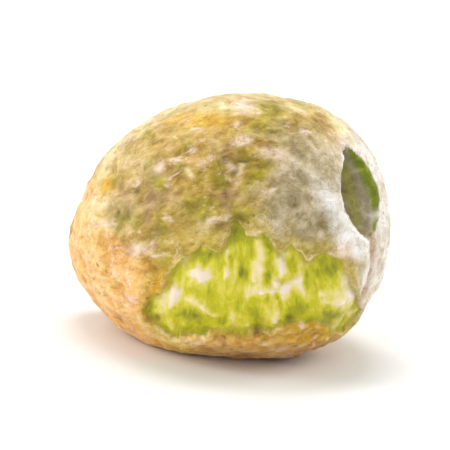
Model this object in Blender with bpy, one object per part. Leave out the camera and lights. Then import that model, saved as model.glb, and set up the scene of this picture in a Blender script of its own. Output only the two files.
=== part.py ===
"""A shelled pistachio kernel, lying on the small flat spot that it rests on.

Run with: blender --background --python part.py

Units are metres. +X runs along the kernel towards its blunt, split end and -X towards its pointed
tip; +Z is up. The two seed leaves meet in the upright XZ plane. The origin is at the middle of the
bounding box's underside, so the kernel stands on z = 0. It grew as one piece, so it is one solid.
"""

import math

import bmesh
import bpy
import numpy as np
from mathutils import Matrix, Vector

MM = 0.001

# The body, before its foot is cut
LENGTH = 16.0 * MM  # tip to blunt end, along the kernel's own axis
HEIGHT = 11.0 * MM  # across the seed leaves' broad faces
THICKNESS = 9.8 * MM  # through both seed leaves
TILT = math.radians(9)  # how far the blunt end is lifted above the tip
FOOT_CUT = 0.4 * MM  # what the flat spot takes off the underside

# How the cross-section swells and shrinks along the kernel
TIP_POWER = 0.63  # above 0.5 draws the end out to a point
END_POWER = 0.43  # below 0.5 makes the end blunt
SQUARENESS = 2.1  # 2 is an ellipse; more is boxier
SQUARENESS_UNDER = 2.25
UNDERSIDE_FULLNESS = 0.18
TIP_DROP = 1.3 * MM

# Gentle lumps and flats: where they point from the middle, their height and their spread in radians
LUMPS = {
    "brow": ((-0.60, -0.25, 0.75), 0.06 * MM, 0.40),
    "crown_rise": ((-0.30, -0.10, 0.95), 0.14 * MM, 0.36),
    "shoulder": ((0.55, 0.63, 0.55), 0.14 * MM, 0.45),
    "heel": ((-0.20, -0.60, -0.77), 0.24 * MM, 0.40),
    "far_heel": ((0.10, 0.75, -0.65), 0.30 * MM, 0.45),
    "keel": ((0.52, 0.08, -0.85), 0.50 * MM, 0.26),
    "front_flat": ((0.15, -0.97, 0.10), -0.38 * MM, 0.50),
    "back_hollow": ((-0.25, 0.93, 0.25), -0.34 * MM, 0.38),
    "under_end_flat": ((0.76, 0.25, -0.60), -0.12 * MM, 0.24),
    "under_tip_flat": ((-0.75, -0.44, -0.48), -0.26 * MM, 0.32),
    "tip_flat": ((-0.75, -0.35, 0.45), -0.22 * MM, 0.35),
    "crown_dip": ((0.45, 0.35, 0.82), -0.14 * MM, 0.34),
}

# The split at the blunt end, where the two seed leaves stand apart
SPLIT_LENGTH = 4.0 * MM
SPLIT_WIDTH = 2.4 * MM
SPLIT_DEPTH = 1.3 * MM
SPLIT_RISE = math.radians(4)  # above the kernel's own +X, seen from its middle
SPLIT_SIDE = 0.10 * MM  # towards the back seed leaf

# Mesh fineness
BALL_SUBDIVISIONS = 5  # an icosphere of 5,120 triangles
CUTTER_SEGMENTS = 24
CUTTER_RINGS = 16

KERNEL_COLOUR = (0.55, 0.46, 0.17, 1.0)
KERNEL_ROUGHNESS = 0.5


def clear_scene():
    """Removes every object of the file that the script runs in."""
    for obj in list(bpy.data.objects):
        bpy.data.objects.remove(obj, do_unlink=True)


def swelling(along):
    """Cross-section radius along the kernel: (1 + t)^TIP_POWER * (1 - t)^END_POWER, 1 at its widest."""
    widest = (TIP_POWER - END_POWER) / (TIP_POWER + END_POWER)
    most = (1 + widest) ** TIP_POWER * (1 - widest) ** END_POWER
    before = np.clip(1 + along, 0, None) ** TIP_POWER
    after = np.clip(1 - along, 0, None) ** END_POWER
    return before * after / most


def lump_height(directions):
    """Sum of soft bumps: each is its height times exp((cos(angle) - 1) / spread^2)."""
    total = np.zeros(len(directions))
    for towards, height, spread in LUMPS.values():
        centre = np.array(towards) / np.linalg.norm(towards)
        total += height * np.exp((directions @ centre - 1) / spread**2)
    return total


def body_points(directions):
    """Points of the kernel's skin, one for each unit vector: a superellipse swept along the X axis.

    Its radii follow swelling(), its underside is boxier and fuller, the tip droops, the soft lumps
    are added outwards, and the whole is tilted about Y to lift the blunt end.
    """
    along = directions[:, 0]
    ring = np.maximum(np.hypot(directions[:, 1], directions[:, 2]), 1e-9)
    side = directions[:, 1] / ring
    rise = directions[:, 2] / ring
    under = 0.5 - 0.5 * np.tanh(rise / 0.5)
    squareness = SQUARENESS + (SQUARENESS_UNDER - SQUARENESS) * under
    reach = (np.abs(side) ** squareness + np.abs(rise) ** squareness) ** (-1 / squareness)
    radius = swelling(along)
    x = LENGTH / 2 * along
    y = THICKNESS / 2 * radius * reach * side
    z = HEIGHT / 2 * radius ** (1 - UNDERSIDE_FULLNESS * under) * reach * rise
    z -= TIP_DROP * ((1 - along) / 2) ** 2
    points = np.stack([x, y, z], axis=1) + directions * lump_height(directions)[:, None]
    turn = np.array(Matrix.Rotation(-TILT, 3, "Y"))
    return points @ turn.T


def shape_ball(mesh):
    """Moves a unit ball's vertices onto the kernel's skin, and cuts its foot flat at z = 0."""
    directions = np.array([vertex.co.normalized() for vertex in mesh.verts])
    points = body_points(directions)
    points[:, 2] -= points[:, 2].min() + FOOT_CUT
    for vertex, point in zip(mesh.verts, points):
        vertex.co = point
    geometry = mesh.verts[:] + mesh.edges[:] + mesh.faces[:]
    cut = bmesh.ops.bisect_plane(
        mesh,
        geom=geometry,
        dist=1e-7,
        plane_co=(0, 0, 0),
        plane_no=(0, 0, -1),
        clear_outer=True,
    )
    rim = [edge for edge in cut["geom_cut"] if isinstance(edge, bmesh.types.BMEdge)]
    bmesh.ops.contextual_create(mesh, geom=rim)
    bmesh.ops.recalc_face_normals(mesh, faces=mesh.faces[:])
    return float(points[:, 2].max())


def kernel_material():
    """Tan skin over green flesh, as one plain colour."""
    material = bpy.data.materials.new("kernel")
    material.use_nodes = True
    shader = material.node_tree.nodes["Principled BSDF"]
    shader.inputs["Base Color"].default_value = KERNEL_COLOUR
    shader.inputs["Roughness"].default_value = KERNEL_ROUGHNESS
    shader.inputs["Metallic"].default_value = 0.0
    return material


def make_kernel():
    """The kernel's body as a mesh object, and the height of its top."""
    mesh = bmesh.new()
    bmesh.ops.create_icosphere(mesh, subdivisions=BALL_SUBDIVISIONS, radius=1.0)
    top = shape_ball(mesh)
    data = bpy.data.meshes.new("kernel")
    mesh.to_mesh(data)
    mesh.free()
    data.shade_smooth()
    data.materials.append(kernel_material())
    kernel = bpy.data.objects.new("kernel", data)
    bpy.context.scene.collection.objects.link(kernel)
    return kernel, top


def make_split_cutter(kernel, top):
    """A lens-shaped cutter whose middle lies on the skin of the blunt end, in the seam plane."""
    middle = Vector((0, SPLIT_SIDE, top / 2))
    rise = SPLIT_RISE + TILT
    outwards = Vector((math.cos(rise), 0, math.sin(rise)))
    found, skin, _, _ = kernel.ray_cast(middle + outwards * LENGTH, -outwards)
    if not found:
        raise RuntimeError("the split's axis misses the kernel")
    mesh = bmesh.new()
    bmesh.ops.create_uvsphere(
        mesh, u_segments=CUTTER_SEGMENTS, v_segments=CUTTER_RINGS, radius=1.0
    )
    bmesh.ops.scale(
        mesh, vec=(SPLIT_DEPTH, SPLIT_WIDTH / 2, SPLIT_LENGTH / 2), verts=mesh.verts
    )
    data = bpy.data.meshes.new("split_cutter")
    mesh.to_mesh(data)
    mesh.free()
    cutter = bpy.data.objects.new("split_cutter", data)
    bpy.context.scene.collection.objects.link(cutter)
    cutter.parent = kernel
    cutter.location = skin
    cutter.rotation_euler = (0, -rise, 0)
    cutter.hide_render = True
    cutter.display_type = "WIRE"
    return cutter


def open_split(kernel, cutter):
    """Cuts the split into the kernel with a Boolean."""
    cut = kernel.modifiers.new("split", "BOOLEAN")
    cut.operation = "DIFFERENCE"
    cut.object = cutter


def centre_on_origin(kernel):
    """Moves the kernel so that its bounding box is centred over the origin."""
    bpy.context.view_layer.update()
    shaped = kernel.evaluated_get(bpy.context.evaluated_depsgraph_get())
    corners = np.array([vertex.co for vertex in shaped.data.vertices])
    middle = (corners.min(axis=0) + corners.max(axis=0)) / 2
    kernel.location = (-middle[0], -middle[1], 0)


def main():
    clear_scene()
    kernel, top = make_kernel()
    bpy.context.view_layer.update()
    cutter = make_split_cutter(kernel, top)
    open_split(kernel, cutter)
    centre_on_origin(kernel)


main()
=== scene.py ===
"""A shelled pistachio kernel with its papery skin partly worn off, on a pale studio floor.

The kernel's form, its marks and its noise are worked out in millimetres. The finished mesh and the
studio are in metres. +X runs along the kernel to its blunt, split end, the two seed leaves meet near
the XZ plane, and +Z is up.
"""

import math

import bpy
import numpy as np
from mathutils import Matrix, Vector


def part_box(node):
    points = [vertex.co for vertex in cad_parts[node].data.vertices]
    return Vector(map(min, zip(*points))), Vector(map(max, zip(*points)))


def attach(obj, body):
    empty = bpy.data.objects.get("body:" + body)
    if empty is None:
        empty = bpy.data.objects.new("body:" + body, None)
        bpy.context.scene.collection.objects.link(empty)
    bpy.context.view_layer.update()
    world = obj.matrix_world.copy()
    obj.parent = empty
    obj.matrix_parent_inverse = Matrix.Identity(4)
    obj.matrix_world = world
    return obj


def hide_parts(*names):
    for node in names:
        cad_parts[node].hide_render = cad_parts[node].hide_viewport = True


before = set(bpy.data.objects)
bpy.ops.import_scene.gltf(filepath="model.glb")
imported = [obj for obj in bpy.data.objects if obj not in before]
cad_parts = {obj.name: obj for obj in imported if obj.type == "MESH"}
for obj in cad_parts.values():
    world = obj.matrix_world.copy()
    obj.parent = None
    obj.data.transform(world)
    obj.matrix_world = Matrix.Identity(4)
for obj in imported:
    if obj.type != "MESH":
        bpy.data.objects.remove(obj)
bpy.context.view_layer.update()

MM = 0.001

# The kernel's form, in millimetres: the same as its solid's
LENGTH = 16.0
HEIGHT = 11.0
THICKNESS = 9.8
TILT = math.radians(9)
FOOT_CUT = 0.4
TIP_POWER = 0.63
END_POWER = 0.43
SQUARENESS = 2.1
SQUARENESS_UNDER = 2.25
UNDERSIDE_FULLNESS = 0.18
TIP_DROP = 1.3
LUMPS = {
    "brow": ((-0.60, -0.25, 0.75), 0.06, 0.40),
    "crown_rise": ((-0.30, -0.10, 0.95), 0.14, 0.36),
    "shoulder": ((0.55, 0.63, 0.55), 0.14, 0.45),
    "heel": ((-0.20, -0.60, -0.77), 0.24, 0.40),
    "far_heel": ((0.10, 0.75, -0.65), 0.30, 0.45),
    "keel": ((0.52, 0.08, -0.85), 0.50, 0.26),
    "front_flat": ((0.15, -0.97, 0.10), -0.38, 0.50),
    "back_hollow": ((-0.25, 0.93, 0.25), -0.34, 0.38),
    "under_end_flat": ((0.76, 0.25, -0.60), -0.12, 0.24),
    "under_tip_flat": ((-0.75, -0.44, -0.48), -0.26, 0.32),
    "tip_flat": ((-0.75, -0.35, 0.45), -0.22, 0.35),
    "crown_dip": ((0.45, 0.35, 0.82), -0.14, 0.34),
}

GRID = 129  # points along each side of the six grids that wrap the kernel
FOOT_SOFTNESS = 0.15  # how roundly the flank turns into the foot, in millimetres

LATTICE = 16  # cells before the noise repeats
LATTICE_SHIFT = 7.3  # cells, so that the middle of the kernel isn't on a corner
NOISE_GAIN = 1.6  # brings gradient noise to about -1 to 1


# ---------------------------------------------------------------- noise and easing


def lattice_vectors(seed):
    """A cubic block of random unit vectors, LATTICE to a side, that repeats in every direction."""
    rng = np.random.default_rng(seed)
    vectors = rng.normal(size=(LATTICE, LATTICE, LATTICE, 3))
    return vectors / np.linalg.norm(vectors, axis=3, keepdims=True)


def gradient_noise(points, cell, seed):
    """Smooth noise, about -1 to 1: at each corner of the cell, the dot product of a random vector
    and the way from the corner, blended by a quintic ease along each axis."""
    vectors = lattice_vectors(seed)
    place = points / cell + LATTICE_SHIFT
    corner = np.floor(place).astype(int)
    inside = place - corner
    ease = inside**3 * (inside * (6 * inside - 15) + 10)
    total = np.zeros(len(points))
    for step in np.ndindex(2, 2, 2):
        step = np.array(step)
        part = np.prod(np.where(step, ease, 1 - ease), axis=1)
        random_vector = vectors[tuple(((corner + step) % LATTICE).T)]
        total += part * np.sum((inside - step) * random_vector, axis=1)
    return NOISE_GAIN * total


def rough_noise(points, cell, seed, octaves=3):
    """A sum of gradient noises, each half the height and half the cell of the one before."""
    total = np.zeros(len(points))
    for octave in range(octaves):
        total += gradient_noise(points, cell / 2**octave, seed + octave) / 2**octave
    return total


def smoothstep(low, high, value):
    """0 below low, 1 above high, and 3t^2 - 2t^3 between them."""
    t = np.clip((value - low) / (high - low), 0, 1)
    return t * t * (3 - 2 * t)


def bump(distance, spread):
    """A soft hill: exp(-(distance / spread)^2)."""
    return np.exp(-((distance / spread) ** 2))


# ---------------------------------------------------------------- the body's form


def unit_directions(size):
    """Six size x size grids of unit vectors, one for each side of a cube, with even angles along a side.

    Returns the vectors and the quads that join them, with the grids' shared borders merged.
    """
    tangent = np.tan(np.linspace(-1, 1, size) * math.pi / 4)
    u, v = np.meshgrid(tangent, tangent, indexing="ij")
    one = np.ones_like(u)
    sides = [(one, u, v), (-one, v, u), (u, v, one), (v, u, -one), (v, one, u), (u, -one, v)]
    grids = np.concatenate([np.stack(side, axis=2).reshape(-1, 3) for side in sides])
    index = np.arange(size * size).reshape(size, size)
    one_grid = np.stack([index[:-1, :-1], index[1:, :-1], index[1:, 1:], index[:-1, 1:]], axis=2)
    quads = np.concatenate([one_grid.reshape(-1, 4) + side * size * size for side in range(6)])
    directions = grids / np.linalg.norm(grids, axis=1, keepdims=True)
    rounded = np.round(directions, 7) + 0.0  # which turns -0 into 0
    _, first, merged = np.unique(rounded, axis=0, return_index=True, return_inverse=True)
    return directions[first], merged.reshape(-1)[quads]


def swelling(along):
    """Cross-section radius along the kernel: (1 + t)^TIP_POWER * (1 - t)^END_POWER, 1 at its widest."""
    widest = (TIP_POWER - END_POWER) / (TIP_POWER + END_POWER)
    most = (1 + widest) ** TIP_POWER * (1 - widest) ** END_POWER
    before = np.clip(1 + along, 0, None) ** TIP_POWER
    after = np.clip(1 - along, 0, None) ** END_POWER
    return before * after / most


def lump_height(directions):
    """Sum of soft bumps: each is its height times exp((cos(angle) - 1) / spread^2)."""
    total = np.zeros(len(directions))
    for towards, height, spread in LUMPS.values():
        centre = np.array(towards) / np.linalg.norm(towards)
        total += height * np.exp((directions @ centre - 1) / spread**2)
    return total


def body_points(directions):
    """Points of the kernel's skin in millimetres, one for each unit vector, with the foot at z = 0.

    A superellipse swept along X: its radii follow swelling(), its underside is boxier and fuller, the
    tip droops, the soft lumps are added outwards, and the whole is tilted about Y. It is then lowered
    so that the foot's cut lies at z = 0.
    """
    along = directions[:, 0]
    ring = np.maximum(np.hypot(directions[:, 1], directions[:, 2]), 1e-9)
    side = directions[:, 1] / ring
    rise = directions[:, 2] / ring
    under = 0.5 - 0.5 * np.tanh(rise / 0.5)
    squareness = SQUARENESS + (SQUARENESS_UNDER - SQUARENESS) * under
    powers = np.abs(side) ** squareness + np.abs(rise) ** squareness
    reach = np.maximum(powers, 0.1) ** (-1 / squareness)
    radius = swelling(along)
    x = LENGTH / 2 * along
    y = THICKNESS / 2 * radius * reach * side
    z = HEIGHT / 2 * radius ** (1 - UNDERSIDE_FULLNESS * under) * reach * rise
    z -= TIP_DROP * ((1 - along) / 2) ** 2
    points = np.stack([x, y, z], axis=1) + directions * lump_height(directions)[:, None]
    cos, sin = math.cos(TILT), math.sin(TILT)
    x = cos * points[:, 0] - sin * points[:, 2]
    z = sin * points[:, 0] + cos * points[:, 2]
    return np.stack([x, points[:, 1], z - z.min() - FOOT_CUT], axis=1)


def rest_on_foot(points):
    """Presses what lies below z = 0 up to a soft, flat foot, and sets its lowest point on z = 0.

    The pressing is a soft maximum of z and zero: half of z plus the root of z^2 and softness^2.
    """
    z = points[:, 2]
    pressed = 0.5 * (z + np.sqrt(z**2 + FOOT_SOFTNESS**2))
    return np.stack([points[:, 0], points[:, 1], pressed - pressed.min()], axis=1)


def centred_on(points, low, high):
    """Moves points sideways so that their box is centred where the solid's box is."""
    middle = (points.min(axis=0) + points.max(axis=0)) / 2
    wanted = (np.array(low) + np.array(high)) / (2 * MM)
    return points + [wanted[0] - middle[0], wanted[1] - middle[1], 0]


# ---------------------------------------------------------------- where things lie on the kernel

BODY_MIDDLE = np.array([0.0, 0.0, 5.7])  # millimetres
FLANK_TURN = 38  # degrees from -Y towards +X: the way the worn flank faces
FLANK_LIFT = 16  # degrees above level


def laid_out(points, turn, lift):
    """Lays points on a plane that faces a way: how far each is across, up and near, from the middle.

    Across is level, near is along the way that the plane faces, and up is their cross product.
    """
    turn, lift = math.radians(turn), math.radians(lift)
    across = np.array([math.cos(turn), math.sin(turn), 0])
    near = np.array(
        [math.sin(turn) * math.cos(lift), -math.cos(turn) * math.cos(lift), math.sin(lift)]
    )
    up = np.cross(near, across)
    from_middle = points - BODY_MIDDLE
    return from_middle @ across, from_middle @ up, from_middle @ near


# The worn window on the front flank: a boxy arch over an uneven sill, with fingers of bare flesh.
# Like the marks further on, its parts were placed in millimetres on the flank's plane.
WINDOW_MIDDLE = 1.35
WINDOW_HALF_WIDTH = 4.70
WINDOW_SILL = -5.20
WINDOW_ARCH = 3.45
WINDOW_NEAREST = 1.8  # how near the flank's plane skin must be for the window to reach it
WINDOW_FINGERS = (  # place across, extra height, half-width
    (-0.60, 0.42, 0.60),
    (0.64, 1.40, 0.42),
    (1.60, 0.95, 0.58),
    (2.90, 0.35, 0.26),
    (4.40, 0.60, 0.42),
    (5.05, 0.30, 0.30),
)
SKIN_ISLANDS = (  # skin left within the window: middle across and up, half-sizes
    (-3.00, -2.30, 0.85, 1.25),
    (3.45, -5.00, 0.85, 0.45),
    (1.50, -5.10, 0.24, 0.14),
)

# Smaller bare places elsewhere: the way each faces, its middle on that plane, half-sizes, and turn
NO_SCUFF = -4.0  # the depth given to skin that is far from every scuff
SCUFFS = {
    "back": (200, 12, (-1.9, 0.6), (3.0, 1.5), 14),
    "far_end": (128, 8, (0.8, -1.9), (1.7, 1.2), -20),
    "crown": (200, 68, (1.6, -0.8), (1.9, 0.55), 10),
    "near_tip": (-100, 5, (-0.4, 0.6), (1.1, 0.8), 30),
    "belly": (215, -30, (2.4, -1.2), (1.9, 1.0), -12),
}


def window_top(across):
    """Height of the worn window's upper edge: a boxy arch, the root of one less the fourth power of
    the reach from its middle, plus a soft hill for each finger."""
    reach = np.clip(np.abs(across - WINDOW_MIDDLE) / WINDOW_HALF_WIDTH, 0, 1)
    top = WINDOW_SILL + WINDOW_ARCH * np.sqrt(1 - reach**4)
    for place, height, half_width in WINDOW_FINGERS:
        top = top + height * bump(across - place, half_width)
    return top


def window_depth(points):
    """Millimetres inside the worn window's edge: the least of how far below its top, above its sill
    and clear of the skin islands a point is, roughened by noise. It is negative outside."""
    across, up, near = laid_out(points, FLANK_TURN, FLANK_LIFT)
    sill = WINDOW_SILL + 0.18 * gradient_noise(points, 1.7, 30)
    inside = np.minimum(window_top(across) - up, up - sill)
    inside = np.minimum(inside, WINDOW_HALF_WIDTH - np.abs(across - WINDOW_MIDDLE))
    for place, height, half_long, half_high in SKIN_ISLANDS:
        clear = np.hypot((across - place) / half_long, (up - height) / half_high) - 1
        inside = np.minimum(inside, clear * half_high)
    ragged = 0.26 * gradient_noise(points, 1.2, 31) + 0.24 * rough_noise(points, 0.6, 32, 3)
    return np.minimum(inside + ragged, near - WINDOW_NEAREST + 0.5 * ragged)


def scuff_depth(points):
    """Millimetres inside the nearest small bare place: each is an ellipse with a noisy edge."""
    deepest = np.full(len(points), NO_SCUFF)
    ragged = 0.42 * rough_noise(points, 1.4, 33, 2) + 0.18 * rough_noise(points, 0.55, 35, 2)
    for turn, lift, middle, half, spin in SCUFFS.values():
        across, up, near = laid_out(points, turn, lift)
        cos, sin = math.cos(math.radians(spin)), math.sin(math.radians(spin))
        along = cos * (across - middle[0]) + sin * (up - middle[1])
        athwart = cos * (up - middle[1]) - sin * (across - middle[0])
        inside = (1 - np.hypot(along / half[0], athwart / half[1])) * min(half)
        deepest = np.maximum(deepest, np.minimum(inside + ragged, near))
    return deepest


# The blunt end: the gap where the two seed leaves stand apart, shaped like a half-shut eye
END_RISE = math.radians(13)  # the way that the gap faces, above +X
GAP_SIDE = 0.30
GAP_NEAR_WIDTH = 1.60
GAP_FAR_WIDTH = 0.98
GAP_HALF_LENGTH = 2.02
GAP_DEPTH = 1.6
GAP_TOP_LEAN = 0.32  # how far the gap's top end leans towards the back leaf
GAP_DEEPEST = -0.50  # where it is deepest, from -1 at the near rim to 1 at the far one
END_MIDDLE_HEIGHT = 2.10  # above the body's middle, where the gap is longest
END_MIDDLE_OUT = 7.2  # along X from the body's middle, where the gap is longest
END_STARTS = 3  # how far out along the way that the gap faces its end of the kernel starts
OFF_THE_END = 9.0  # the place given to points on the rest of the kernel, well past either rim


def end_coordinates(points):
    """Distance out along the way that the gap faces, sideways along Y, and along the gap."""
    out = np.array([math.cos(END_RISE), 0, math.sin(END_RISE)])
    along = np.array([-math.sin(END_RISE), 0, math.cos(END_RISE)])
    rel = points - BODY_MIDDLE
    middle = END_MIDDLE_HEIGHT * math.cos(END_RISE) - END_MIDDLE_OUT * math.sin(END_RISE)
    return rel @ out, rel[:, 1], rel @ along - middle


def gap_place(points):
    """Where a point lies over the gap: from -1 at its near rim to 1 at its far rim, its half-width
    there, and how far along it is, -1 to 1. The half-width falls off as one less the square of that,
    and as a lesser power of it at the low end, which is rounder."""
    out, side, along = end_coordinates(points)
    reach = along / GAP_HALF_LENGTH
    offset = side - GAP_SIDE + 0.12 * reach**2 - GAP_TOP_LEAN * np.clip(reach, 0, 1) ** 2
    widest = np.where(offset < 0, GAP_NEAR_WIDTH, GAP_FAR_WIDTH)
    narrowing = np.clip(1 - reach**2, 0.02, 1)
    half_width = widest * np.where(reach < 0, narrowing**0.7, narrowing)
    return np.where(out > END_STARTS, offset / half_width, OFF_THE_END), half_width, reach


def gap_depth(points):
    """How far the gap sinks, 0 to 1: two walls that roll over at the rim and steepen down to a
    crease, each the way from its rim raised to a power, and shallower towards both ends."""
    place, _, reach = gap_place(points)
    near_wall = np.clip((place + 1) / (GAP_DEEPEST + 1), 0, None) ** 1.25
    far_wall = np.clip((1 - place) / (1 - GAP_DEEPEST), 0, None) ** 1.5
    sunk = np.minimum(np.minimum(near_wall, far_wall), 1)
    return sunk * np.clip(1 - reach**2, 0, 1) ** 0.6


def gap_lip(points):
    """A rounded lip along the gap's near rim, 0 to 1: a soft hill just outside it, fullest low down."""
    place, half_width, reach = gap_place(points)
    beyond = -(place + 1) * half_width
    low_down = smoothstep(0.9, -0.5, reach) * smoothstep(-1.7, -0.9, reach)
    at_end = smoothstep(4.5, 5.5, end_coordinates(points)[0])
    return bump(beyond - 0.28, 0.40) * low_down * at_end


def sink_end(points):
    """Presses the gap into the blunt end, inwards along the way that it faces."""
    out = np.array([math.cos(END_RISE), 0, math.sin(END_RISE)])
    return points - GAP_DEPTH * gap_depth(points)[:, None] * out


def seam_distance(points):
    """Millimetres sideways from the seam between the leaves, which waves a little about the XZ
    plane and drifts over to the slit at the blunt end."""
    drift = (GAP_SIDE + 0.1) * smoothstep(2.5, 7.2, points[:, 0]) - 0.1
    return points[:, 1] - drift - 0.14 * gradient_noise(points * [1, 0, 1], 2.2, 41)


# ---------------------------------------------------------------- the skin's and the flesh's relief

SKIN_THICKNESS = 0.15
RIB_FAN_TOP = (1.3, 8.0)  # where the flesh's ribs would meet, across and up on the worn flank
RIB_ARC = 11.5  # millimetres below its top where the fan's ribs have their stated width


def along_kernel(points, stretch):
    """Points squeezed along the kernel's tilted axis, so that noise over them runs lengthwise."""
    cos, sin = math.cos(TILT), math.sin(TILT)
    along = cos * points[:, 0] + sin * points[:, 2]
    athwart = cos * points[:, 2] - sin * points[:, 0]
    return np.stack([along / stretch, points[:, 1], athwart], axis=1)


def fan_place(points, stretch):
    """Points laid along the flesh's fan of ribs: the angle round its top, as a width on a middling
    arc, and the distance from its top over a stretch, so that noise over them runs down the fan."""
    across, up, near = laid_out(points, FLANK_TURN, FLANK_LIFT)
    angle = np.arctan2(across - RIB_FAN_TOP[0], RIB_FAN_TOP[1] - up)
    reach = np.hypot(across - RIB_FAN_TOP[0], RIB_FAN_TOP[1] - up)
    return np.stack([RIB_ARC * angle, reach / stretch, near / 4], axis=1)


# Pale veins that stand up from the worn flank's flesh: where each starts and ends, across and up, how
# far it bows sideways between them, and its half-width
VEINS = (
    ((0.40, -1.30), (0.20, -3.10), -0.12, 0.13),
    ((1.72, -1.35), (1.30, -3.00), 0.10, 0.16),
    ((2.50, -1.00), (2.45, -2.75), 0.08, 0.13),
    ((2.45, -2.70), (1.60, -3.50), 0.10, 0.15),
    ((3.85, -1.95), (2.20, -3.40), 0.12, 0.14),
    ((4.00, -3.15), (5.20, -3.95), -0.10, 0.14),
    ((-1.60, -3.40), (0.10, -4.45), -0.10, 0.17),
    ((-2.00, -2.60), (-2.20, -4.10), 0.12, 0.11),
    ((-1.25, -2.30), (-0.95, -3.00), 0.00, 0.32),
    ((2.30, -3.70), (2.20, -4.80), -0.06, 0.11),
)


def vein_crests(points):
    """Crests, 0 to 1, along the veins: each runs along a parabola, which is its chord bowed by four
    times t times one less t, with a soft hill across it that narrows towards both ends."""
    across, up, _ = laid_out(points, FLANK_TURN, FLANK_LIFT)
    across = across + 0.18 * rough_noise(points, 1.1, 54, 3)
    up = up + 0.18 * rough_noise(points, 1.1, 57, 3)
    broken = smoothstep(-0.5, 0.5, rough_noise(points, 0.6, 60, 2))
    fullest = np.zeros(len(points))
    for start, end, bow, half_width in VEINS:
        chord = np.subtract(end, start)
        length = np.linalg.norm(chord)
        towards = chord / length
        t = ((across - start[0]) * towards[0] + (up - start[1]) * towards[1]) / length
        aside = (up - start[1]) * towards[0] - (across - start[0]) * towards[1]
        arch = np.clip(4 * t * (1 - t), 0, 1)
        hill = bump(aside - bow * arch, half_width * (0.5 + 0.8 * np.sqrt(arch)))
        fullest = np.maximum(fullest, hill * smoothstep(0, 0.5, arch))
    return fullest * (0.3 + 0.7 * broken)


def rib_crests(points):
    """Crests, 0 to 1, that run down the worn flank: the high parts of two noises that are drawn out
    along the fan, so that each crest is a long, rounded rib which swells and fades."""
    coarse = smoothstep(0.08, 0.62, gradient_noise(fan_place(points, 2.2), 1.05, 51))
    fine = smoothstep(0.10, 0.60, gradient_noise(fan_place(points, 2.4), 0.52, 52))
    broken = smoothstep(-0.75, 0.0, rough_noise(points, 1.2, 53, 2))
    return np.maximum(coarse, 0.8 * fine) * broken


def skin_wrinkles(points):
    """Fine lengthwise wrinkles, about -1 to 1: one minus twice the size of stretched noise."""
    coarse = 1 - 2.6 * np.abs(gradient_noise(along_kernel(points, 2.6), 0.85, 61))
    fine = 1 - 2.6 * np.abs(gradient_noise(along_kernel(points, 1.8), 0.42, 62))
    return 0.65 * coarse + 0.35 * fine


def relief(points, worn, crests, veins):
    """Millimetres that the surface stands proud of the body's form.

    Broad unevenness, plus wrinkles, pimples and torn lips where there is skin, plus ribs, veins and
    furrows where it is bare, less the skin's thickness there, plus the gap's lip, less the seam's
    crease and small pits.
    """
    bare = smoothstep(-0.07, 0.10, worn)
    broad = 0.10 * rough_noise(points, 3.4, 71, 2)
    pimples = 0.050 * rough_noise(points, 0.75, 73, 2)
    skin = 0.060 * skin_wrinkles(points) + pimples
    curled = smoothstep(-0.4, 0.3, gradient_noise(points, 0.9, 75))
    lip = (0.02 + 0.09 * curled) * bump(worn + 0.12, 0.14)
    furrows = 0.05 * gradient_noise(fan_place(points, 2.0), 0.5, 76)
    ribs = 0.07 * crests + 0.13 * veins
    flesh = ribs + furrows + 0.015 * rough_noise(points, 0.4, 77, 2) - SKIN_THICKNESS
    seam = seam_distance(points)
    open_end = smoothstep(4.5, 7.0, points[:, 0])
    crease = (0.05 + 0.06 * open_end) * bump(seam, 0.16) + (0.05 + 0.08 * open_end) * bump(seam, 0.6)
    rim = 0.16 * gap_lip(points) - 0.08 * marks(points, PIT_MARKS, 0)
    return broad + (1 - bare) * (skin + lip) + bare * flesh - crease + rim


# ---------------------------------------------------------------- colour zones

# Soft-edged marks on the worn flank, in millimetres: across, up, half-sizes, and how many degrees
# each leans
GOLD_MARKS = (
    (-0.70, 3.85, 1.15, 0.26, -2),
    (-4.95, 1.20, 0.36, 0.36, 0),
    (-5.95, -1.25, 0.50, 0.50, 0),
    (3.75, -4.95, 0.85, 0.36, 0),
    (-2.10, -5.60, 1.20, 0.28, 0),
    (-2.62, -3.20, 0.25, 0.65, -6),
)
OLIVE_MARKS = (
    (2.05, 4.35, 0.75, 0.30, -12),
    (-2.54, 1.24, 0.42, 0.34, 0),
    (-2.48, -0.77, 0.26, 0.70, 0),
    (1.55, 1.65, 0.90, 0.26, 45),
    (-0.85, 0.15, 0.75, 0.45, 0),
    (0.00, 1.25, 0.30, 0.26, 30),
    (0.80, -0.20, 0.45, 0.30, 0),
    (-4.20, -0.30, 0.30, 0.22, 20),
)
# Painted highlights: near-white glossy streaks by the gap's near rim and down the blunt end's edge
PAINTED_HIGHLIGHT_MARKS = (
    (5.15, 2.45, 0.75, 0.14, 88),
    (4.45, 0.40, 0.95, 0.36, -62),
    (5.15, -0.95, 0.95, 0.42, -55),
    (5.65, -1.50, 0.55, 0.40, -60),
    (6.20, -2.60, 1.10, 0.40, 80),
)
CREAM_MARKS = (
    (-4.70, 0.10, 0.95, 1.40, 0),
    (-3.60, 2.10, 0.65, 0.65, 0),
    (0.90, -0.60, 1.20, 0.50, 0),
)
# Painted highlights: pinkish-white specks where light glints on the skin's bumps, in this table and the
# next
ROSY_HIGHLIGHT_SPECKS = (
    (2.25, 2.42, 0.50, 0.20, -14),
    (0.40, 1.95, 0.36, 0.12, -40),
    (-2.50, 1.90, 0.28, 0.18, 50),
    (0.85, 2.95, 0.40, 0.16, 15),
    (0.95, 4.45, 0.40, 0.26, 0),
    (-3.60, -1.55, 0.40, 0.20, 20),
    (5.05, -1.55, 0.30, 0.30, 0),
)
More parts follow.
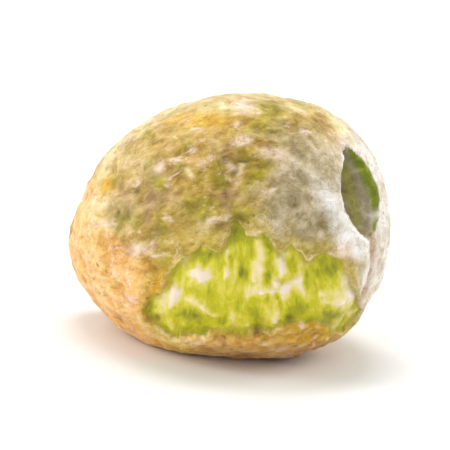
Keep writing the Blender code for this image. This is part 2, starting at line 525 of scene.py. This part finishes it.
PALE_HIGHLIGHT_SPECKS = (
    (1.80, 2.35, 0.30, 0.16, -22),
    (0.75, 1.85, 0.26, 0.12, 60),
    (-1.30, 1.65, 0.22, 0.12, -50),
    (0.90, 2.95, 0.30, 0.12, 10),
    (3.00, 4.40, 0.60, 0.24, -12),
    (4.85, 3.75, 0.90, 0.28, -48),
    (0.40, -0.90, 0.50, 0.22, 30),
    (-0.60, -0.55, 0.50, 0.28, 15),
)
BLUSH_MARKS = (
    (-4.60, -2.20, 0.50, 1.00, 20),
    (-4.00, -4.20, 0.80, 1.10, 35),
)
PIT_MARKS = (
    (4.12, -0.50, 0.26, 0.22, 0),
    (0.50, 1.68, 0.22, 0.15, 20),
    (-2.77, -4.45, 0.20, 0.16, 0),
    (1.50, -4.93, 0.22, 0.14, 0),
    (2.84, -4.42, 0.20, 0.16, 0),
    (0.75, -0.22, 0.30, 0.20, 0),
    (-3.60, 0.90, 0.16, 0.12, 0),
    (3.05, 0.30, 0.16, 0.12, 0),
)
PALE_FLESH_MARKS = (
    (-1.07, -2.65, 0.44, 0.48, 0),
    (1.55, -3.25, 0.80, 0.38, 0),
    (5.45, -3.25, 0.48, 0.90, 8),
    (-1.90, -3.60, 0.24, 0.40, 0),
)
DEEP_FLESH_MARKS = (
    (0.65, -0.95, 0.38, 0.48, 0),
    (1.95, -1.85, 0.22, 0.75, 6),
    (0.75, -2.55, 0.22, 0.50, 0),
    (1.88, -2.70, 0.20, 0.30, 0),
    (-0.50, -1.72, 0.62, 0.28, 0),
    (2.95, -2.05, 0.20, 0.40, 0),
    (4.45, -2.15, 0.42, 0.36, 0),
    (3.10, -3.75, 0.30, 0.45, 0),
    (4.85, -4.40, 0.34, 0.30, 0),
    (-1.35, -4.38, 0.48, 0.24, -15),
    (0.00, -4.72, 0.42, 0.20, 0),
    (-3.15, -3.80, 0.25, 0.42, 0),
)


def marks(points, places, drift):
    """The fullest of several soft hills, 0 to 1, each an ellipse on the worn flank's plane that
    drift swells where it is negative and shrinks where it is positive."""
    across, up, near = laid_out(points, FLANK_TURN, FLANK_LIFT)
    fullest = np.zeros(len(points))
    for place, height, half_long, half_short, lean in places:
        cos, sin = math.cos(math.radians(lean)), math.sin(math.radians(lean))
        along = (cos * (across - place) + sin * (up - height)) / half_long
        athwart = (cos * (up - height) - sin * (across - place)) / half_short
        hill = bump(np.maximum(np.hypot(along, athwart) + drift, 0), 1.0)
        fullest = np.maximum(fullest, hill)
    return fullest * smoothstep(0, 0.8, near)


def colour_zones(points, worn):
    """Named weights, 0 to 1, for where the skin is flushed, golden, olive, pitted, ashen,
    plum-coloured or plum-dark as painted shade along the foot, pale or lit by a painted rim highlight
    and painted highlight specks, rosy with painted highlight specks, or thin, where it is painted
    near-white as a highlight by the gap and at the blunt end, and where the flesh is pale or deep green.

    Each is a smooth step or a soft hill over the flank's across, up and near, made uneven by two
    noises: a broad drift and a fine fray.
    """
    across, up, near = laid_out(points, FLANK_TURN, FLANK_LIFT)
    drift = 0.7 * rough_noise(points, 2.4, 81, 2)
    fray = 0.45 * rough_noise(points, 0.8, 82, 3)
    tip = smoothstep(-3.0, -5.0, across + 0.25 * up + drift + 1.3 * smoothstep(-2.0, 0.0, up))
    under = smoothstep(-4.5, -5.4, up + 0.5 * drift)
    blush = np.maximum(tip * smoothstep(2.8, 0.6, up + drift), under)
    blush = np.maximum(blush, marks(points, BLUSH_MARKS, fray))
    elsewhere = smoothstep(0.1, 0.6, rough_noise(points, 2.0, 83, 2)) * smoothstep(-0.6, -1.8, near)
    elsewhere = elsewhere * (1 - tip * smoothstep(-3.2, -1.6, near))
    olive = np.maximum(marks(points, OLIVE_MARKS, 0.6 * fray - 0.3), 0.8 * elsewhere)
    ash = smoothstep(0.2, 2.6, across - 0.25 * up + drift) * smoothstep(-2.8, -0.6, up + drift)
    ash = ash * smoothstep(4.2, 2.4, up + 0.5 * drift) * smoothstep(-1.5, 0.5, near + drift)
    blotches = smoothstep(-0.5, 0.35, rough_noise(points, 3.4, 85, 2))
    plum = smoothstep(-1.2, -3.2, near + 1.2 * drift) * blotches * smoothstep(0.6, 0.0, under)
    plum = plum * (1 - tip)
    # Painted shade: plum-dark skin along the foot, where the kernel meets the floor
    painted_foot_shade = smoothstep(-5.0, -6.2, up + 0.4 * drift + 0.3 * fray - 0.08 * across)
    plum = np.maximum(plum, 0.55 * painted_foot_shade * smoothstep(-1.0, 1.0, near))
    # Painted rim highlight: a pale cream band painted round the outline that the front flank shows and
    # along the crown, where rim light falls
    painted_rim_highlight = smoothstep(2.4, 0.4, near + 1.5 * drift + 0.8 * fray)
    painted_rim_highlight = np.maximum(painted_rim_highlight, 0.55 * smoothstep(3.90, 4.60, up + 0.25 * drift + 0.4 * fray))
    painted_rim_highlight = painted_rim_highlight * smoothstep(-2.0, 0.0, near + 1.5 * drift + 0.8 * fray) * (1 - under)
    painted_rim_highlight = painted_rim_highlight * (0.6 + 0.4 * smoothstep(-0.5, 0.4, rough_noise(points, 1.3, 87, 3)))
    # Partly pale skin and partly painted rim highlight: a mottled near-white band over the blunt end
    outer = across + 0.2 * np.clip(up, 0, None)
    pale_end_and_highlight = smoothstep(5.3, 6.4, outer + 0.4 * drift + 0.3 * fray)
    pale_end_and_highlight = pale_end_and_highlight * smoothstep(-0.4, 1.3, near + drift + 0.8 * fray)
    pale_end_and_highlight = pale_end_and_highlight * (0.35 + 0.45 * smoothstep(-0.4, 0.4, rough_noise(points, 1.1, 86, 3)))
    # The pale zone holds the painted rim highlight, painted highlight specks and pale cream skin
    pale = np.maximum(painted_rim_highlight * (1 - 0.65 * tip), marks(points, PALE_HIGHLIGHT_SPECKS, 0.6 * fray - 0.1))
    pale = np.maximum(pale, 0.34 * marks(points, CREAM_MARKS, 0.8 * fray))
    # The lip zone is painted highlight: the marks above, the blunt end's band and the gap's rounded lip,
    # painted near-white
    lip = np.maximum(marks(points, PAINTED_HIGHLIGHT_MARKS, 0.3 * fray), np.maximum(pale_end_and_highlight, gap_lip(points)))
    thin = smoothstep(-1.5, -0.05, worn + fray) * (1 - 0.7 * blush)
    return {
        "blush": blush,
        "gold": marks(points, GOLD_MARKS, 0.6 * fray - 0.3),
        "olive": olive,
        "pit": marks(points, PIT_MARKS, 0.2 * fray),
        "ash": ash,
        "plum": plum,
        "pale": pale,
        "rosy": marks(points, ROSY_HIGHLIGHT_SPECKS, 0.6 * fray - 0.2),
        "lip": lip,
        "thin": thin,
        "pale_flesh": marks(points, PALE_FLESH_MARKS, 0.6 * fray),
        "deep_flesh": marks(points, DEEP_FLESH_MARKS, 0.6 * fray),
    }


# ---------------------------------------------------------------- meshes


def surface_mesh(name, points, quads, weights, places):
    """A smooth-shaded mesh object from points in millimetres, quads, and named numbers and vectors
    for each point."""
    mesh = bpy.data.meshes.new(name)
    mesh.from_pydata(points * MM, [], quads)
    mesh.shade_smooth()
    for label, values in weights.items():
        attribute = mesh.attributes.new(label, "FLOAT", "POINT")
        attribute.data.foreach_set("value", values.astype(np.float32))
    for label, vectors in places.items():
        attribute = mesh.attributes.new(label, "FLOAT_VECTOR", "POINT")
        attribute.data.foreach_set("vector", vectors.astype(np.float32).ravel())
    piece = bpy.data.objects.new(name, mesh)
    bpy.context.scene.collection.objects.link(piece)
    return piece


def point_normals(points, quads):
    """Unit normals: the sum, at each point, of the cross products of its quads' diagonals."""
    first = points[quads[:, 2]] - points[quads[:, 0]]
    second = points[quads[:, 3]] - points[quads[:, 1]]
    facing = np.cross(first, second)
    total = np.zeros_like(points)
    for corner in range(4):
        np.add.at(total, quads[:, corner], facing)
    return total / np.maximum(np.linalg.norm(total, axis=1, keepdims=True), 1e-12)


def gap_walls(points):
    """Weights, 0 to 1, for the gap's green far wall and for the olive leaf between its walls.

    The wall is a band by the far rim, less a soft hill where a pale thread crosses it. The leaf is a
    soft hill across the gap's middle that fades towards both ends.
    """
    place, _, reach = gap_place(points)
    far_wall = smoothstep(0.36, 0.66, place + 0.2 * reach) * smoothstep(1.06, 0.98, place)
    far_wall = far_wall * (np.abs(reach) < 1) * (1 - 0.85 * bump(reach + 0.54, 0.09))
    inner_leaf = bump(place - 0.02, 0.17) * smoothstep(1.0, 0.5, np.abs(reach))
    return far_wall, inner_leaf


def make_kernel():
    """The kernel: unit directions carried onto the body's form, its end sunk and its relief added."""
    directions, quads = unit_directions(GRID)
    form = body_points(directions)
    above = np.stack([form[:, 0], form[:, 1], np.maximum(form[:, 2], 0)], axis=1)
    low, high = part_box("kernel")
    form = form + (centred_on(above, low, high) - above)[0]
    worn = np.maximum(window_depth(form), scuff_depth(form))
    crests = rib_crests(form)
    veins = vein_crests(form)
    zones = colour_zones(form, worn)
    gap = gap_depth(form)
    far_wall, inner_leaf = gap_walls(form)
    height = relief(form, worn, crests, veins) * (1 - 0.8 * smoothstep(0.0, 0.4, gap))
    normals = point_normals(form, quads)
    shaped = sink_end(form) + normals * height[:, None]
    shaped = rest_on_foot(shaped)
    wrinkle = 0.5 + 0.5 * np.clip(skin_wrinkles(form), -1, 1)
    pinch = bump(seam_distance(form), 0.2) * smoothstep(4.5, 7.0, form[:, 0])
    weights = {"worn": worn, "crest": crests, "vein": veins, "gap": gap, "far_wall": far_wall}
    weights = {**weights, "wrinkle": wrinkle, "pinch": pinch, "inner_leaf": inner_leaf, **zones}
    return surface_mesh("kernel_body", shaped, quads, weights, {"fan": fan_place(form, 2.8)})


# ---------------------------------------------------------------- paint and nodes


def paint(red, green, blue):
    """A shader colour from everyday 0 to 255 values, by the sRGB curve."""
    linear = []
    for value in (red / 255, green / 255, blue / 255):
        linear.append(value / 12.92 if value <= 0.04045 else ((value + 0.055) / 1.055) ** 2.4)
    return (*linear, 1.0)


# Each finish's shades, from its furrows to its crests, so that its furrows take painted shade: where
# each lies on the mottle, and its colour
TAN_SHADES = (
    (0.15, paint(112, 82, 6)),
    (0.36, paint(150, 118, 22)),
    (0.50, paint(180, 146, 56)),
    (0.66, paint(202, 168, 92)),
    (0.88, paint(238, 212, 168)),
)
OLIVE_SHADES = (
    (0.15, paint(100, 88, 0)),
    (0.42, paint(140, 125, 0)),
    (0.62, paint(170, 153, 10)),
    (0.88, paint(206, 188, 84)),
)
GOLD_SHADES = (
    (0.15, paint(160, 112, 0)),
    (0.42, paint(200, 150, 0)),
    (0.62, paint(220, 174, 14)),
    (0.88, paint(244, 208, 96)),
)
ASH_SHADES = (
    (0.15, paint(136, 120, 80)),
    (0.42, paint(174, 158, 120)),
    (0.62, paint(200, 186, 154)),
    (0.88, paint(238, 224, 212)),
)
BLUSH_SHADES = (
    (0.15, paint(190, 110, 30)),
    (0.38, paint(228, 156, 60)),
    (0.58, paint(246, 190, 104)),
    (0.88, paint(255, 226, 172)),
)
# Cream shades, which also paint the rim highlight and the highlight specks
PALE_AND_HIGHLIGHT_SHADES = (
    (0.15, paint(198, 166, 94)),
    (0.36, paint(226, 202, 136)),
    (0.55, paint(244, 226, 174)),
    (0.85, paint(255, 246, 216)),
)
# Shades for the painted pinkish-white highlight specks
ROSY_HIGHLIGHT_SHADES = (
    (0.15, paint(190, 150, 118)),
    (0.42, paint(224, 192, 166)),
    (0.62, paint(242, 218, 202)),
    (0.88, paint(255, 240, 232)),
)
# Near-white shades for the painted highlights
PAINTED_HIGHLIGHT_SHADES = (
    (0.12, paint(214, 202, 178)),
    (0.34, paint(240, 236, 226)),
    (0.70, paint(254, 254, 254)),
)
MAUVE_SHADES = (
    (0.15, paint(132, 98, 62)),
    (0.42, paint(170, 134, 96)),
    (0.62, paint(196, 162, 130)),
    (0.88, paint(238, 210, 194)),
)
THIN_SHADES = (
    (0.15, paint(146, 126, 4)),
    (0.40, paint(180, 158, 28)),
    (0.60, paint(204, 184, 74)),
    (0.88, paint(238, 220, 160)),
)
PLUM_SHADES = (
    (0.15, paint(72, 36, 30)),
    (0.42, paint(110, 62, 50)),
    (0.62, paint(146, 94, 70)),
    (0.88, paint(192, 150, 116)),
)
FLESH_SHADES = (
    (0.06, paint(124, 124, 0)),
    (0.24, paint(162, 160, 0)),
    (0.42, paint(194, 188, 4)),
    (0.56, paint(216, 204, 66)),
    (0.74, paint(232, 216, 144)),
    (0.95, paint(242, 224, 206)),
)
GAP_GREENS = (
    (0.15, paint(82, 90, 0)),
    (0.50, paint(114, 124, 0)),
    (0.88, paint(156, 164, 44)),
)
# Greys painted into the gap as the shade on its walls
GAP_SHADE_GREYS = (
    (0.15, paint(112, 102, 66)),
    (0.50, paint(150, 138, 108)),
    (0.88, paint(196, 182, 158)),
)
GAP_OLIVES = (
    (0.15, paint(126, 120, 30)),
    (0.50, paint(166, 160, 72)),
    (0.88, paint(206, 198, 128)),
)
# Painted shadow for the gap's deepest crease
PAINTED_CREASE_SHADOW = paint(70, 60, 24)
TEAR_PALE = paint(236, 212, 154)
# Painted shade for bare flesh just inside the skin's torn edge
PAINTED_SHADE_UNDER_SKIN = paint(150, 142, 0)
SKIN_PINK = paint(180, 120, 84)
PORE_BROWN = paint(92, 62, 14)
CREASE_BROWN = paint(176, 136, 88)
PIT_BROWN = paint(104, 84, 12)
# Colour of the painted glints
PAINTED_GLINT_PINK = paint(244, 216, 200)

# The skin's zones in the order that they are laid on, how much of each shows, and its shades. Pale, lip
# and rosy carry painted highlights, and plum a painted shade along the foot
SKIN_ZONES = (
    ("ash", 0.9, ASH_SHADES),
    ("blush", 0.9, BLUSH_SHADES),
    ("plum", 0.9, PLUM_SHADES),
    ("pale", 0.92, PALE_AND_HIGHLIGHT_SHADES),
    ("thin", 0.60, THIN_SHADES),
    ("lip", 0.95, PAINTED_HIGHLIGHT_SHADES),
    ("olive", 0.9, OLIVE_SHADES),
    ("gold", 0.9, GOLD_SHADES),
    ("rosy", 0.75, ROSY_HIGHLIGHT_SHADES),
)

# How the kernel takes light, apart from its colour, roughness and relief
KERNEL_LIGHTING = {
    "Subsurface Weight": 0.12,
    "Subsurface Radius": (1.0, 0.65, 0.20),
    "Subsurface Scale": 0.5 * MM,
    "Specular IOR Level": 0.30,
    "Coat Weight": 0.05,
    "Coat Roughness": 0.22,
    "Sheen Weight": 0.6,
    "Sheen Roughness": 0.22,
    "Sheen Tint": paint(255, 240, 205),
}
BUMP_DISTANCE = 0.09 * MM


def add(tree, kind, inputs, **settings):
    """Adds a shader node, sets its settings, and gives each named input a value or a link."""
    node = tree.nodes.new("ShaderNode" + kind)
    for setting, value in settings.items():
        setattr(node, setting, value)
    for name, value in inputs.items():
        if isinstance(value, bpy.types.NodeSocket):
            tree.links.new(value, node.inputs[name])
        else:
            node.inputs[name].default_value = value
    return node


def weight(tree, name):
    """The number that the mesh carries under a name."""
    return add(tree, "Attribute", {}, attribute_name=name).outputs["Fac"]


def maths(tree, operation, first, second, third=0.0):
    """One sum of two or three numbers."""
    return add(tree, "Math", {0: first, 1: second, 2: third}, operation=operation).outputs[0]


def between(tree, value, low, high, floor=0.0, ceiling=1.0):
    """Carries low..high to floor..ceiling by a smooth step."""
    inputs = {"Value": value, "From Min": low, "From Max": high, "To Min": floor, "To Max": ceiling}
    return add(tree, "MapRange", inputs, interpolation_type="SMOOTHSTEP").outputs["Result"]


def blend(tree, factor, under, over, how="MIX"):
    """Lays one colour over another by a factor."""
    node = add(tree, "Mix", {0: factor, 6: under, 7: over}, data_type="RGBA", blend_type=how)
    return node.outputs[2]


def noise(tree, place, scale, detail=3.0, roughness=0.55, distortion=0.0):
    """Cloudy noise over a place, with scale in clouds per millimetre."""
    inputs = {"Vector": place, "Scale": scale, "Detail": detail, "Roughness": roughness}
    return add(tree, "TexNoise", {**inputs, "Distortion": distortion}).outputs["Fac"]


def specks(tree, place, scale, size):
    """Scattered specks of uneven size, 1 in their middles: scale is how many to a millimetre."""
    inputs = {"Vector": place, "Scale": scale, "Randomness": 1.0}
    distance = add(tree, "TexVoronoi", inputs, feature="F1").outputs["Distance"]
    unevenness = maths(tree, "MULTIPLY", noise(tree, place, 2.3, 2.0), 0.5)
    return between(tree, maths(tree, "ADD", distance, unevenness), 0.25 + size, 0.25 + 0.2 * size)


def millimetres(tree, stretch=1.0, slant=0.0):
    """Object coordinates in millimetres, drawn out along an axis that slants up from +X."""
    coordinates = add(tree, "TexCoord", {}).outputs["Object"]
    inputs = {
        "Vector": coordinates,
        "Rotation": (0, -math.radians(slant), 0),
        "Scale": (MM * stretch, MM, MM),
    }
    return add(tree, "Mapping", inputs, vector_type="TEXTURE").outputs["Vector"]


# ---------------------------------------------------------------- the kernel's finish


def shades(tree, mottle, stops):
    """Colours along a mottle, eased from one stop to the next."""
    node = add(tree, "ValToRGB", {"Fac": mottle})
    ramp = node.color_ramp
    ramp.interpolation = "EASE"
    while len(ramp.elements) < len(stops):
        ramp.elements.new(0.5)
    for element, (position, colour) in zip(ramp.elements, stops):
        element.position = position
        element.color = colour
    return node.outputs["Color"]


def share(tree, name, part):
    """A part of the number that the mesh carries under a name."""
    return maths(tree, "MULTIPLY", weight(tree, name), part)


def skin_mottle(tree, lengthwise):
    """Skin's mottle: middling clouds and small pebbles, with painted light on the wrinkles' crests and
    painted shade in their furrows. The same mottle raises the fine bump, so its low places are painted
    darker as shade.
    """
    clouds = maths(tree, "MULTIPLY", noise(tree, lengthwise, 0.9, 4.0, 0.60, 0.5), 0.36)
    pebbles = maths(tree, "MULTIPLY", noise(tree, lengthwise, 3.2, 4.0, 0.65, 0.3), 0.48)
    # Painted light and shade: lighter on the relief's wrinkle crests, darker in its furrows
    crests = maths(tree, "MULTIPLY", weight(tree, "wrinkle"), 0.16)
    total = maths(tree, "ADD", maths(tree, "ADD", clouds, pebbles), crests)
    return add(tree, "MapRange", {"Value": total, "From Min": 0.26, "From Max": 0.78}).outputs[0]


def skin_colour(tree, place, lengthwise, mottle):
    """Papery skin: tan with clouds of mauve and moss, the zones laid over it, a pink seam at the blunt
    end, and a scatter of painted pink-white glints, brown creases and dark pores."""
    colour = shades(tree, mottle, TAN_SHADES)
    dusk = between(tree, noise(tree, place, 0.55, 3.0, 0.6, 0.4), 0.48, 0.68, 0.0, 0.6)
    colour = blend(tree, dusk, colour, shades(tree, mottle, MAUVE_SHADES))
    moss = between(tree, noise(tree, place, 0.75, 3.0, 0.6, 0.8), 0.50, 0.66, 0.0, 0.8)
    colour = blend(tree, moss, colour, shades(tree, mottle, OLIVE_SHADES))
    for zone, part, stops in SKIN_ZONES:
        colour = blend(tree, share(tree, zone, part), colour, shades(tree, mottle, stops))
    colour = blend(tree, share(tree, "pinch", 0.5), colour, SKIN_PINK)
    # Painted highlights: small pink-white glints scattered over the skin
    pink_glints = between(tree, noise(tree, lengthwise, 1.5, 4.0, 0.62, 0.4), 0.565, 0.72, 0.0, 0.65)
    colour = blend(tree, pink_glints, colour, PAINTED_GLINT_PINK)
    creases = noise(tree, lengthwise, 1.1, 5.0, 0.6, 0.9)
    creases = maths(tree, "ABSOLUTE", maths(tree, "SUBTRACT", creases, 0.5), 0.0)
    creases = between(tree, creases, 0.022, 0.0, 0.0, 0.42)
    colour = blend(tree, creases, colour, CREASE_BROWN, "MULTIPLY")
    gathered = between(tree, noise(tree, place, 0.45, 2.0), 0.42, 0.62, 0.05, 0.6)
    pores = maths(tree, "MULTIPLY", specks(tree, place, 1.7, 0.22), gathered)
    return blend(tree, pores, colour, PORE_BROWN)


def flesh_mottle(tree, place):
    """Flesh's mottle: clouds, and streaks down the fan, raised on ribs, veins and pale marks and
    lowered on deep ones, so that its palest shades gather along the veins with broken edges."""
    fan = add(tree, "Attribute", {}, attribute_name="fan").outputs["Vector"]
    clouds = maths(tree, "MULTIPLY", noise(tree, place, 1.1, 4.0, 0.55, 0.3), 0.40)
    streaks = maths(tree, "MULTIPLY", noise(tree, fan, 2.6, 4.0, 0.62, 0.3), 0.60)
    raised = maths(tree, "ADD", share(tree, "crest", 0.15), share(tree, "vein", 0.21))
    raised = maths(tree, "ADD", raised, share(tree, "pale_flesh", 0.18))
    raised = maths(tree, "SUBTRACT", raised, share(tree, "deep_flesh", 0.14))
    total = maths(tree, "ADD", maths(tree, "ADD", clouds, streaks), raised)
    return add(tree, "MapRange", {"Value": total, "From Min": 0.265, "From Max": 0.81}).outputs[0]


def torn_skin(tree, place, depth, skin):
    """Skin with a pale line just outside its torn edge, in patches."""
    edge = maths(tree, "MULTIPLY", between(tree, depth, -0.16, -0.06), between(tree, depth, 0.02, -0.04))
    patchy = between(tree, noise(tree, place, 0.9, 2.0), 0.42, 0.62, 0.0, 0.7)
    return blend(tree, maths(tree, "MULTIPLY", edge, patchy), skin, TEAR_PALE)


def gap_colour(tree, mottle, colour):
    """A colour with the gap's walls laid over it: painted shade in grey as the walls sink, with an olive
    leaf, a green far wall and a dark painted shadow in its crease."""
    shaded_greys = shades(tree, mottle, GAP_SHADE_GREYS)
    shaded_greys = blend(tree, share(tree, "inner_leaf", 0.9), shaded_greys, shades(tree, mottle, GAP_OLIVES))
    # Painted shade: the gap's walls turn grey as they sink
    colour = blend(tree, between(tree, weight(tree, "gap"), 0.02, 0.20, 0.0, 0.95), colour, shaded_greys)
    colour = blend(tree, weight(tree, "far_wall"), colour, shades(tree, mottle, GAP_GREENS))
    # Painted shadow: dark in the gap's deepest crease
    return blend(tree, between(tree, weight(tree, "gap"), 0.55, 1.0), colour, PAINTED_CREASE_SHADOW)


def finish_roughness(tree, place, bare):
    """Roughness: cloudy, lower on bare flesh than on skin, and lower on the lip zone, which is painted
    near-white as a highlight.
    """
    gloss = noise(tree, place, 1.6, 3.0, 0.6)
    skin = between(tree, gloss, 0.3, 0.7, 0.30, 0.50)
    skin = maths(tree, "SUBTRACT", skin, share(tree, "lip", 0.14))
    flesh = between(tree, gloss, 0.3, 0.7, 0.22, 0.40)
    return add(tree, "Mix", {0: bare, 2: skin, 3: flesh}, data_type="FLOAT").outputs[0]


def finish_bump(tree, place, bare, mottle, pulp):
    """Fine relief: the skin's mottle or the flesh's, each with a little grain."""
    grain = maths(tree, "MULTIPLY", noise(tree, place, 7.0, 4.0, 0.6), 0.35)
    skin = maths(tree, "ADD", mottle, grain)
    flesh = maths(tree, "MULTIPLY_ADD", pulp, 0.9, maths(tree, "MULTIPLY", grain, 0.5))
    heights = add(tree, "Mix", {0: bare, 2: skin, 3: flesh}, data_type="FLOAT")
    inputs = {"Height": heights.outputs[0], "Strength": 0.8, "Distance": BUMP_DISTANCE}
    return add(tree, "Bump", inputs).outputs["Normal"]


def kernel_finish():
    """The kernel's one material: skin where it is whole, flesh where it is worn, and the gap's walls."""
    material = bpy.data.materials.new("kernel_skin_and_flesh")
    material.use_nodes = True
    tree = material.node_tree
    shader = tree.nodes["Principled BSDF"]
    place = millimetres(tree)
    lengthwise = millimetres(tree, 1.9, 24)
    frayed = maths(tree, "MULTIPLY", noise(tree, place, 2.2, 5.0, 0.7), 0.44)
    depth = maths(tree, "ADD", weight(tree, "worn"), maths(tree, "SUBTRACT", frayed, 0.22))
    bare = between(tree, depth, -0.03, 0.09)
    mottle = skin_mottle(tree, lengthwise)
    skin = skin_colour(tree, place, lengthwise, mottle)
    pulp = flesh_mottle(tree, place)
    flesh = shades(tree, pulp, FLESH_SHADES)
    # Painted shade: darker green on the bare flesh just inside the skin's torn edge
    shade_under_skin = between(tree, depth, 0.45, 0.05, 0.0, 0.55)
    flesh = blend(tree, shade_under_skin, flesh, PAINTED_SHADE_UNDER_SKIN)
    colour = blend(tree, bare, torn_skin(tree, place, depth, skin), flesh)
    colour = blend(tree, share(tree, "pit", 0.8), colour, PIT_BROWN)
    tree.links.new(gap_colour(tree, mottle, colour), shader.inputs["Base Color"])
    tree.links.new(finish_roughness(tree, place, bare), shader.inputs["Roughness"])
    tree.links.new(finish_bump(tree, place, bare, mottle, pulp), shader.inputs["Normal"])
    for name, value in KERNEL_LIGHTING.items():
        shader.inputs[name].default_value = value
    return material


# ---------------------------------------------------------------- the studio


FLOOR_RADIUS = 0.6
FLOOR_SIDES = 96
LAMP_TARGET = (0, 0, 0.005)  # the kernel's middle, in metres like the rest of the studio
CAMERA_TARGET = (0.0002, 0.0, 0.0052)
CAMERA_DISTANCE = 0.265


def make_floor():
    """A wide, round, matt white floor under the kernel's foot: a ring of points and a face."""
    turn = np.linspace(0, 2 * math.pi, FLOOR_SIDES + 1)[:-1]
    ring = np.stack([np.cos(turn), np.sin(turn), np.zeros(FLOOR_SIDES)], axis=1) * FLOOR_RADIUS
    mesh = bpy.data.meshes.new("studio_floor")
    mesh.from_pydata(ring, [], [list(range(FLOOR_SIDES))])
    floor = bpy.data.objects.new("studio_floor", mesh)
    bpy.context.scene.collection.objects.link(floor)
    material = bpy.data.materials.new("white_seamless")
    material.use_nodes = True
    tree = material.node_tree
    shader = tree.nodes["Principled BSDF"]
    tooth = noise(tree, millimetres(tree), 0.15, 2.0)
    colour = blend(tree, tooth, (0.86, 0.86, 0.86, 1), (0.89, 0.89, 0.89, 1))
    tree.links.new(colour, shader.inputs["Base Color"])
    shader.inputs["Roughness"].default_value = 0.8
    shader.inputs["Specular IOR Level"].default_value = 0.2
    mesh.materials.append(material)


def aim(thing, target):
    """Turns a lamp or the camera so that it looks at a point, with its top upwards."""
    thing.rotation_euler = (Vector(target) - thing.location).to_track_quat("-Z", "Y").to_euler()


def around(turn, lift, distance):
    """A place as seen from the kernel: degrees round from -Y towards +X, degrees up, and how far."""
    turn, lift = math.radians(turn), math.radians(lift)
    level = math.cos(lift) * distance
    return (math.sin(turn) * level, -math.cos(turn) * level, math.sin(lift) * distance)


def add_softbox(name, turn, lift, distance, size, power):
    """A rectangular area lamp that faces the kernel and that the camera doesn't see."""
    data = bpy.data.lights.new(name, "AREA")
    data.shape = "RECTANGLE"
    data.size, data.size_y = size
    data.energy = power
    lamp = bpy.data.objects.new(name, data)
    lamp.location = around(turn, lift, distance)
    lamp.visible_camera = False
    aim(lamp, LAMP_TARGET)
    bpy.context.scene.collection.objects.link(lamp)


def add_lamps():
    """A broad box overhead, a tall box at each side that grazes both broad faces, a soft fill in
    front, a faint rim from behind and a low fill. Each has its turn, lift, distance, size and watts."""
    add_softbox("overhead_box", FLANK_TURN + 180, 78, 0.16, (0.08, 0.08), 0.13)
    add_softbox("left_box", FLANK_TURN - 98, 30, 0.16, (0.06, 0.10), 0.10)
    add_softbox("right_box", FLANK_TURN + 98, 30, 0.16, (0.06, 0.10), 0.10)
    add_softbox("front_fill", FLANK_TURN - 15, 34, 0.24, (0.12, 0.12), 0.05)
    add_softbox("rear_rim", FLANK_TURN - 148, 36, 0.18, (0.06, 0.08), 0.045)
    add_softbox("low_fill", FLANK_TURN - 60, 4, 0.24, (0.12, 0.05), 0.04)


def light_room():
    """White light from all round, as from a seamless white sweep."""
    world = bpy.data.worlds.new("white_sweep")
    world.use_nodes = True
    backing = world.node_tree.nodes["Background"]
    backing.inputs["Color"].default_value = (1.0, 1.0, 1.0, 1.0)
    backing.inputs["Strength"].default_value = 0.56
    bpy.context.scene.world = world
    bpy.context.scene.view_settings.view_transform = "Standard"


def add_camera():
    """A long lens that faces the worn flank from a little above, with the kernel across most of it."""
    data = bpy.data.cameras.new("camera")
    data.lens = 500
    data.sensor_width = 36
    data.clip_start = 0.01
    data.clip_end = 10
    camera = bpy.data.objects.new("camera", data)
    middle = Vector(CAMERA_TARGET)
    camera.location = middle + Vector(around(FLANK_TURN, FLANK_LIFT, CAMERA_DISTANCE))
    aim(camera, middle)
    bpy.context.scene.collection.objects.link(camera)
    bpy.context.scene.camera = camera


kernel = make_kernel()
kernel.data.materials.append(kernel_finish())
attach(kernel, "root")
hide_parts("kernel")
make_floor()
light_room()
add_lamps()
add_camera()
